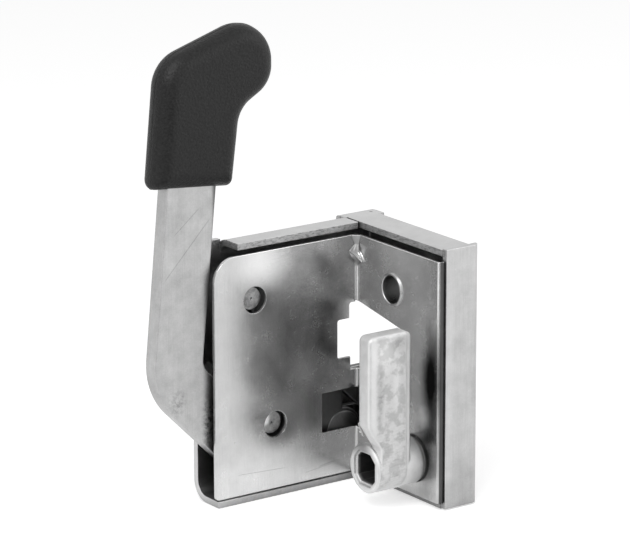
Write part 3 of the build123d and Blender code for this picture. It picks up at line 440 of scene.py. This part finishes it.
def cast_finish():
    """The cast tongue: matt and cloudy, mottled darker on the blade's broad face, with flow
    ripples low down where the blade leaves the hub. Its end face is painted lighter, painted light and
    shade lie on the blade and hub, and painted shade fills its recesses and the square socket."""
    f = Finish("cast_zinc")
    mottle = f.cloud(5, detail=6, rough=0.62)
    grain = f.cloud(0.6, detail=5, rough=0.7, seed=3)
    ripple = f.cloud(1.9, detail=3, stretch=(2.2, 2.2, 0.45), turn=(0, 0.08, 0), seed=6)
    normal = f.rounded(1.4)
    low = f.high.between(52, 34)
    ripples = ripple * low
    inner = f.along.between(blade_reach - 2.6, blade_reach - 5.6)
    inner = inner * f.along.between(BLADE_START + 2.6, BLADE_START + 4.1)
    broad_face = f.faces_out.between(0.6, 0.9) * inner
    # The faces_along term is painted light on faces turned along the lever arm, such as the blade's end face.
    shade = 0.65 + mottle.spread(0.22) + grain.spread(0.12) + f.faces_along.between(0.6, 0.9) * 0.10
    shade = shade - broad_face * (0.06 + mottle.between(0.42, 0.60) * 0.17)
    shade = f.stained_or_lit(shade + ripple.spread(0.20) * low * broad_face, TONGUE_PAINTED_LIGHT)
    aside, above = f.out - hub_out, f.high - hub_high
    # Painted shade inside the square socket.
    socket = (aside * aside + above * above).between(SOCKET_CLEAR**2, SOCKET_DARK**2)
    socket = socket * f.along.between(HUB_FRONT - 1.1, HUB_FRONT - 3.7)
    return f.coat(
        Base_Color=f.grey(f.painted_recess_shade(shade, reach=9, depth=0.85, starts=0.36, full=0.80) * (1 - socket * 0.88)),
        Metallic=0.85,
        Roughness=0.54 + mottle.spread(0.2),
        Normal=f.relief(grain * 0.6 + ripples * 0.6 + mottle * 0.8, 0.06, normal),
    )


# Painted highlight and shade on the pin ends: a painted highlight on half of the pivot pin's end, and painted
# shade on its rim and on the darker half of the anchor pin's end.
PIN_PAINTED_LIGHT = (
    ((49.5, -3.5, 36), (3.6, 3, 4.4), 1.0),  # bright half of the pivot pin's end
    ((43.5, -3.5, 31), (3.5, 3, 3), -0.12),  # its dark rim
    ((60, -3.5, 93.5), (3.8, 3, 4.9), -0.12),  # darker half of the anchor pin's end
)


def pin_finish():
    """Riveted pin ends: greyer steel with blotches, painted highlight and shade on their ends, and painted
    shade round their sides.
    """
    f = Finish("pin_steel")
    blotch = f.cloud(2.2, detail=5, rough=0.7)
    fine = f.cloud(0.5, detail=3, seed=2)
    normal = f.rounded(0.4)
    end_face = (f.faces_out * f.faces_out).between(0.5, 0.85)
    tone = 0.34 + blotch.spread(0.8) + fine.spread(0.2) + f.edge_wear(normal) * 0.25
    tone = f.stained_or_lit(tone, PIN_PAINTED_LIGHT)
    return f.coat(
        # Only the end faces keep their tone; the sides get a near-black painted shade.
        Base_Color=f.grey(0.04 + end_face * tone),
        Metallic=1.0,
        Roughness=0.36 + blotch.spread(0.3),
        Normal=f.relief(blotch + fine * 0.3, 0.16, normal),
    )


def inner_shade_finish(name, tone):
    """Pressed parts inside the casing, given a very dark tone that is painted shade for the inside of the
    casing.
    """
    f = Finish(name)
    film = f.cloud(5, detail=5, rough=0.65, seed=9)
    fine = f.cloud(0.6, detail=3, seed=2)
    normal = f.rounded(0.5)
    return f.coat(
        Base_Color=f.grey(tone + film.spread(0.09) + fine.spread(0.04) + f.edge_wear(normal) * 0.10),
        Metallic=0.9,
        Roughness=0.34 + film.spread(0.3),
        Normal=f.relief(film + fine * 0.4, 0.05, normal),
    )


def tube_finish():
    """The fixing tube: a bright rolled lip, with painted shade down its bore."""
    f = Finish("tube_steel")
    blotch = f.cloud(2.6, detail=4, rough=0.6, seed=1)
    # Painted shade down the bore, behind the cover's face.
    bore = f.along.between(0.2, -1.6) * (0.50 + blotch.spread(0.3))
    return f.coat(
        Base_Color=f.grey((0.49 + blotch.spread(0.4)) * (1 - bore)),
        Metallic=1.0,
        Roughness=0.30 + blotch.spread(0.2),
        Normal=f.relief(blotch, 0.04, f.rounded(0.4)),
    )


def spring_finish():
    """Oiled drawn spring wire."""
    f = Finish("spring_steel")
    film = f.cloud(0.8, detail=3)
    return f.coat(
        Base_Color=f.grey(0.17 + film.spread(0.12)),
        Metallic=1.0,
        Roughness=0.34 + film.spread(0.2),
        Normal=f.relief(film, 0.01),
    )


def grip_finish():
    """Black moulded plastic with a fine leathery grain and a faint haze."""
    f = Finish("grip_plastic")
    grain = f.cloud(1.0, detail=3, rough=0.6)
    pore_values = {"Vector": f.mm, "Scale": 0.9, "Smoothness": 0.5}
    pores = f.add("ShaderNodeTexVoronoi", {"feature": "SMOOTH_F1"}, pore_values)
    haze = f.cloud(14, detail=3, seed=4)
    return f.coat(
        Base_Color=f.grey(0.006 + haze.spread(0.006) + grain.spread(0.034)),
        Metallic=0.0,
        Roughness=0.44 + haze.spread(0.16) + grain.spread(0.2),
        Specular_IOR_Level=0.30,
        Normal=f.relief(grain * 0.7 + pores * 0.5, 0.30),
    )


def dress(material, *names):
    """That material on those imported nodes."""
    for name in names:
        slots = node[name].data.materials
        slots.clear()
        slots.append(material)


cast_zinc = cast_finish()
grip_plastic = grip_finish()
greased_steel = inner_shade_finish("greased_steel", tone=0.05)

dress(casing_finish(), "outer_casing")
dress(cover_finish(), "inner_cover")
dress(lever_finish(), "hand_lever")
dress(cast_zinc, "locking_tongue")
dress(pin_finish(), "lever_pivot_pin", "spring_anchor_pin")
dress(tube_finish(), "fixing_tube")
# The parts inside the casing take a near-black tone as painted shade; the rivet's is a little lighter.
dress(greased_steel, "connecting_link", "link_washer", "crank_arm", "crank_pin")
dress(greased_steel, "pivot_front_washer", "pivot_rear_spacer", "lever_bush", "shaft_bush")
dress(inner_shade_finish("rivet_steel", tone=0.10), "link_rivet")
dress(spring_finish(), "lever_spring", "shaft_circlip")
dress(grip_plastic, "lever_grip")


# New pieces


def added(name, data):
    """A new object of that mesh, lamp or camera, in the scene."""
    made = bpy.data.objects.new(name, data)
    bpy.context.scene.collection.objects.link(made)
    return made


def grid_piece(name, grid, body, material, ring=False):
    """A smooth closed mesh from rows of points. Each row is a loop. A ring's last row meets its
    first; on other pieces each end row is closed by one face."""
    rows, across = grid.shape[:2]
    here = np.arange(rows * across).reshape(rows, across)
    side = np.roll(here, -1, 1)
    quads = np.stack([here, side, np.roll(side, -1, 0), np.roll(here, -1, 0)], -1)
    if ring:
        faces = quads.reshape(-1, 4).tolist()
    else:
        faces = quads[:-1].reshape(-1, 4).tolist() + [here[0, ::-1].tolist(), here[-1].tolist()]
    mesh = bpy.data.meshes.new(name)
    mesh.from_pydata(grid.reshape(-1, 3).tolist(), [], faces)
    mesh.polygons.foreach_set("use_smooth", np.ones(len(mesh.polygons), bool))
    outward = bmesh.new()
    outward.from_mesh(mesh)
    bmesh.ops.recalc_face_normals(outward, faces=outward.faces)
    outward.to_mesh(mesh)
    outward.free()
    mesh.materials.append(material)
    made = added(name, mesh)
    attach(made, body)


def bell(u, centre, width):
    """A bump that is 1 at the centre and has dropped to 1 / e at width from it."""
    return np.exp(-(((u - centre) / width) ** 2))


# The dart's web down from the cover's top edge, and how far it reaches on each arm there.
WEB_DROPS = (0, 4.4, 7.2, 12.2, 14.2)
WEB_ON_LEVER_ARM = (2.9, 1.3, 4.6, 1.3, 0.9)
WEB_ON_TONGUE_ARM = (2.9, 1.3, 2.2, 5.6, 0.9)
# The folded layer on the web: its length, how far it passes the web's rims, how thick it lies, how
# deep its own rim is sunk and how far it stays below the cover's top.
CRIMP_LENGTH = 14.8
CRIMP_PROUD = 0.30
CRIMP_LAYER = 0.04
CRIMP_SUNK = 0.06
COVER_TOP_GAP = 0.02
# Its back follows that share of the front, up to a limit, and is then moved into the sheet.
BACK_SHARE = 0.3
BACK_LIMIT = 0.4
BACK_DEPTH = 0.3
# Each fold: its height, its width, and where its line runs across the web at those drops, from
# -1 at the lever arm's rim to 1 at the tongue arm's.
FOLDS = (
    (0.62, 0.24, (0, 4.4, 7.4, 12.6), (-0.55, -0.60, -0.70, 0.45)),  # broad, along the lower edge
    (0.58, 0.13, (0,), (0.80,)),  # narrow, down the tongue side
    (0.34, 0.13, (0, 5.0, 10.5), (0.0, -0.05, 0.48)),  # low, between the other two
)
FADE_DROPS = (0, 4.0, 6.5, 12.5, CRIMP_LENGTH)
FADE_SHARES = (0.12, 0.30, 1, 1, 0)


def corner_crimp():
    """The folds of the dart in the bend. Down the bend (drop) the web reaches a and b along the
    two arms; across it u runs from -1 to 1. Each fold is a bell curve about its own line, and all
    fade towards the dart's two ends. The rim on the lever arm is smoothed."""
    drop = np.linspace(0.0, CRIMP_LENGTH, 110)[:, None]
    u = np.linspace(-1, 1, 81)[None, :]
    a = np.interp(drop, WEB_DROPS, WEB_ON_LEVER_ARM) + CRIMP_PROUD
    b = np.interp(drop, WEB_DROPS, WEB_ON_TONGUE_ARM) + CRIMP_PROUD
    a[1:-1, 0] = np.convolve(a[:, 0], (0.25, 0.5, 0.25), "valid")
    fold = sum(tall * bell(u, np.interp(drop, drops, line), width) for tall, width, drops, line in FOLDS)
    fade = np.interp(drop, FADE_DROPS, FADE_SHARES)
    rim = np.clip((1 - np.abs(u)) * 8, 0, 1)
    bulge = (CRIMP_LAYER + CRIMP_SUNK + fold * fade) * rim - CRIMP_SUNK
    share = (u + 1) / 2
    along = a * (1 - share) + bulge * math.sqrt(0.5)
    out = b * share + bulge * math.sqrt(0.5)
    high = np.broadcast_to(cover_top - COVER_TOP_GAP - drop, along.shape)
    front = np.stack([along, out, high], -1)
    back = front[:, ::-1].copy()
    back[..., :2] = np.minimum(back[..., :2] * BACK_SHARE, BACK_LIMIT) - BACK_DEPTH
    return placed(np.concatenate([front, back], 1))


def unit(vectors):
    """Each vector divided by its length."""
    return vectors / np.linalg.norm(vectors, axis=-1, keepdims=True)


def rounded_path(corners, radii, steps=24):
    """A closed path round those corners. A corner of half angle h is turned by an arc of radius r
    whose centre lies r / sin(h) away on the bisector, and which starts r / tan(h) before it."""
    corners = np.array(corners)
    radii = np.array(radii)[:, None]
    to_before = unit(np.roll(corners, 1, 0) - corners)
    to_after = unit(np.roll(corners, -1, 0) - corners)
    half = np.arccos((to_before * to_after).sum(1, keepdims=True)) / 2
    centre = corners + unit(to_before + to_after) * radii / np.sin(half)
    first = (corners + to_before * radii / np.tan(half) - centre)[:, None]
    last = (corners + to_after * radii / np.tan(half) - centre)[:, None]
    sweep = (math.pi - 2 * half)[:, None]
    share = np.linspace(0, 1, steps)[None, :, None]
    arc = (first * np.sin((1 - share) * sweep) + last * np.sin(share * sweep)) / np.sin(sweep)
    return (centre[:, None] + arc).reshape(-1, 2)


# The grip's outline, as the solid has it: its corners (along, high) and their radii.
GRIP_CORNERS = ((108.9, 152.4), (103.3, 209.6), (43.8, 228.1), (43.8, 193.2), (61.5, 183.1), (66.0, 148.5))
GRIP_RADII = (2.5, 17.8, 17.8, 14.8, 12.7, 2.5)
# The ridge's profile, as points across the parting plane and above the grip's surface.
PARTING_RIDGE = ((-0.5, -0.3), (-0.14, 0.10), (0, 0.17), (0.14, 0.10), (0.5, -0.3))


def parting_line():
    """The fine ridge where the grip's mould parted: a low blunt profile, carried round the grip's
    outline in its middle plane and kept inside the outline's own box."""
    path = rounded_path(GRIP_CORNERS, GRIP_RADII)
    ahead = unit(np.roll(path, -1, 0) - np.roll(path, 1, 0))
    outward = np.stack([-ahead[:, 1], ahead[:, 0]], 1)
    outward *= np.sign(((path - path.mean(0)) * outward).sum(1).mean())
    across, above = np.array(PARTING_RIDGE).T
    point = path[:, None] + outward[:, None] * above[None, :, None]
    point = np.clip(point, path.min(0), path.max(0))
    out = np.broadcast_to((grip_low[1] + grip_high[1]) / 2 + across, point.shape[:2])
    return placed(np.stack([point[..., 0], out, point[..., 1]], -1))


# The fin of flash: its lowest point and its height, how far out it stands, how deep its root sits
# in the toe, half its thickness, its width at both ends, and how much a share of 1 adds to that.
FLASH_LOW = 36.8
FLASH_HEIGHT = 7.2
FLASH_OUT = 45.3
FLASH_ROOT = 0.4
FLASH_HALF_THICKNESS = 0.28
FLASH_ENDS = 0.15
FLASH_WIDTH = 1.3
# Its torn edge in shares: the middle, and each wave's amount, rate and start.
FLASH_MIDDLE = 0.55
FLASH_WAVES = ((0.25, 23, 0), (0.20, 41, 1), (0.15, 67, 2))
# The toe's edge: heights, and how far along it lies there.
TOE_HEIGHTS = (36.0, 43.0, 46.0)
TOE_ALONG = (29.4, 31.9, 32.0)


def casting_flash():
    """A torn fin of flash on the toe's lower rear edge: a thin strip whose width swings with
    sines of the height and shrinks towards both ends. Each row is an ellipse that leans back from
    the toe's line."""
    t = np.linspace(0, 1, 60)[:, None]
    turn = np.linspace(0, 2 * np.pi, 12, endpoint=False)[None, :]
    high = FLASH_LOW + t * FLASH_HEIGHT
    ragged = FLASH_MIDDLE + sum(amount * np.sin(t * rate + start) for amount, rate, start in FLASH_WAVES)
    width = FLASH_ENDS + FLASH_WIDTH * ragged * np.sin(np.pi * t) ** 0.6
    toe_line = np.interp(high, TOE_HEIGHTS, TOE_ALONG)
    along = toe_line - FLASH_ROOT + width * (0.5 + 0.5 * np.cos(turn))
    out = FLASH_OUT + FLASH_HALF_THICKNESS * np.sin(turn) - width * 0.25 * (1 + np.cos(turn))
    return placed(np.stack([along, out, np.broadcast_to(high, along.shape)], -1))


grid_piece("corner_crimp", corner_crimp(), "casing", crimp_finish())
grid_piece("grip_parting_line", parting_line(), "lever", grip_plastic, ring=True)
grid_piece("tongue_flash", casting_flash(), "tongue", cast_zinc)


# Floor and sky

FLOOR_HALF = 6.0
FLOOR_GAP = 0.0002
FLOOR_GREY = 0.86
FLOOR_GLOW = 0.56
CARD_LOW = (-0.45, -0.55)
CARD_HIGH = (-0.07, -0.09)
CARD_ABOVE_FLOOR = 0.001
CARD_GREY = 0.40
SKY_LIGHT = 0.35


def stage_sheet(name, low, high, level, material):
    """A level rectangle between two corners, which isn't part of the lock."""
    corners = [(low[0], low[1]), (high[0], low[1]), (high[0], high[1]), (low[0], high[1])]
    sheet = added(name, bpy.data.meshes.new(name))
    sheet.data.from_pydata([(*corner, level) for corner in corners], [], [(0, 1, 2, 3)])
    sheet.data.materials.append(material)
    return sheet


def seen_directly(nodes):
    """1 for rays from the camera, a reflection or a view through glass, and 0 for the rest."""
    ends = nodes.add("ShaderNodeLightPath").socket.node.outputs
    kinds = ("Is Camera Ray", "Is Glossy Ray", "Is Transmission Ray")
    camera, glossy, clear = (Wire(nodes, ends[kind]) for kind in kinds)
    return nodes.math("MAXIMUM", nodes.math("MAXIMUM", camera, glossy), clear)


def floor_paper():
    """Pale matt paper that is lifted to white where it is seen and still takes the shadow."""
    f = Nodes(bpy.data.materials.new("floor_paper"))
    matt = f.add("ShaderNodeBsdfDiffuse", None, {"Color": (FLOOR_GREY, FLOOR_GREY, FLOOR_GREY, 1)})
    strength = seen_directly(f) * FLOOR_GLOW
    glow = f.add("ShaderNodeEmission", None, {"Color": (1, 1, 1, 1), "Strength": strength})
    f.add("ShaderNodeOutputMaterial", None, {0: f.add("ShaderNodeAddShader", None, {0: matt, 1: glow})})
    return f.owner


def card_felt():
    """An even grey for the card."""
    f = Nodes(bpy.data.materials.new("dark_card"))
    even = f.add("ShaderNodeEmission", None, {"Color": (CARD_GREY, CARD_GREY, CARD_GREY, 1)})
    f.add("ShaderNodeOutputMaterial", None, {0: even})
    return f.owner


def studio_sky():
    """Soft light from all sides, white where it is seen."""
    f = Nodes(bpy.data.worlds.new("studio"))
    strength = SKY_LIGHT + seen_directly(f) * (1 - SKY_LIGHT)
    air = f.add("ShaderNodeBackground", None, {"Color": (1, 1, 1, 1), "Strength": strength})
    f.add("ShaderNodeOutputWorld", None, {0: air})
    return f.owner


level = cad_box[0].z - FLOOR_GAP
floor = stage_sheet("floor", (-FLOOR_HALF, -FLOOR_HALF), (FLOOR_HALF, FLOOR_HALF), level, floor_paper())

# A dark card low in front, which only reflections show, gives the bright sheet its contrast.
card = stage_sheet("dark_card", CARD_LOW, CARD_HIGH, level + CARD_ABOVE_FLOOR, card_felt())
for kind in ("camera", "diffuse", "shadow", "transmission", "volume_scatter"):
    setattr(card, "visible_" + kind, False)

bpy.context.scene.world = studio_sky()


# Camera: the angles, distance and focal length that fit the photograph's perspective

PICTURE_WIDTH = 630
FOCAL_LENGTH_IN_PIXELS = 3884.9
SENSOR_WIDTH = 36
CAMERA_TURN = math.radians(-35.574)
CAMERA_TILT = math.radians(15.389)
CAMERA_ROLL = math.radians(-0.099)
CAMERA_DISTANCE = 1.7981
AIM_HIGH = 60.0
AIM_TO_THE_LEFT = 0.019291
AIM_ABOVE = 0.038484


def photograph_camera():
    """A camera that looks past the cover's bend, AIM_HIGH mm up, at the photograph's angle."""
    turned, tilted = math.sin(CAMERA_TURN), math.cos(CAMERA_TILT)
    back = Vector((turned * tilted, -math.cos(CAMERA_TURN) * tilted, math.sin(CAMERA_TILT)))
    right = Vector((math.cos(CAMERA_TURN), turned, 0))
    up = back.cross(right)
    bend = Vector(placed(np.array((0, 0, AIM_HIGH))))
    aim = bend - right * AIM_TO_THE_LEFT + up * AIM_ABOVE
    rolled_right = right * math.cos(CAMERA_ROLL) + up * math.sin(CAMERA_ROLL)
    rolled_up = up * math.cos(CAMERA_ROLL) - right * math.sin(CAMERA_ROLL)
    made = added("camera", bpy.data.cameras.new("camera"))
    axes = Matrix((rolled_right, rolled_up, back)).transposed().to_4x4()
    made.matrix_world = Matrix.Translation(aim + back * CAMERA_DISTANCE) @ axes
    made.data.sensor_width = SENSOR_WIDTH
    made.data.lens = SENSOR_WIDTH * FOCAL_LENGTH_IN_PIXELS / PICTURE_WIDTH
    made.data.clip_start = 0.05
    made.data.clip_end = 50
    return made


bpy.context.scene.camera = photograph_camera()


# Lamps


def softbox(name, away, size, power):
    """A square area lamp at that offset from the middle of the lock, aimed at it."""
    lamp = bpy.data.lights.new(name, "AREA")
    lamp.shape = "SQUARE"
    lamp.size = size
    lamp.energy = power
    made = added(name, lamp)
    made.location = (cad_box[0] + cad_box[1]) / 2 + Vector(away)
    made.rotation_mode = "QUATERNION"
    made.rotation_quaternion = Vector(away).to_track_quat("Z", "Y")


softbox("key", (-0.9, -0.5, 1.1), size=0.9, power=11)
softbox("fill", (0.9, -1.0, 0.6), size=1.2, power=6)

bpy.context.scene.view_settings.view_transform = "Standard"
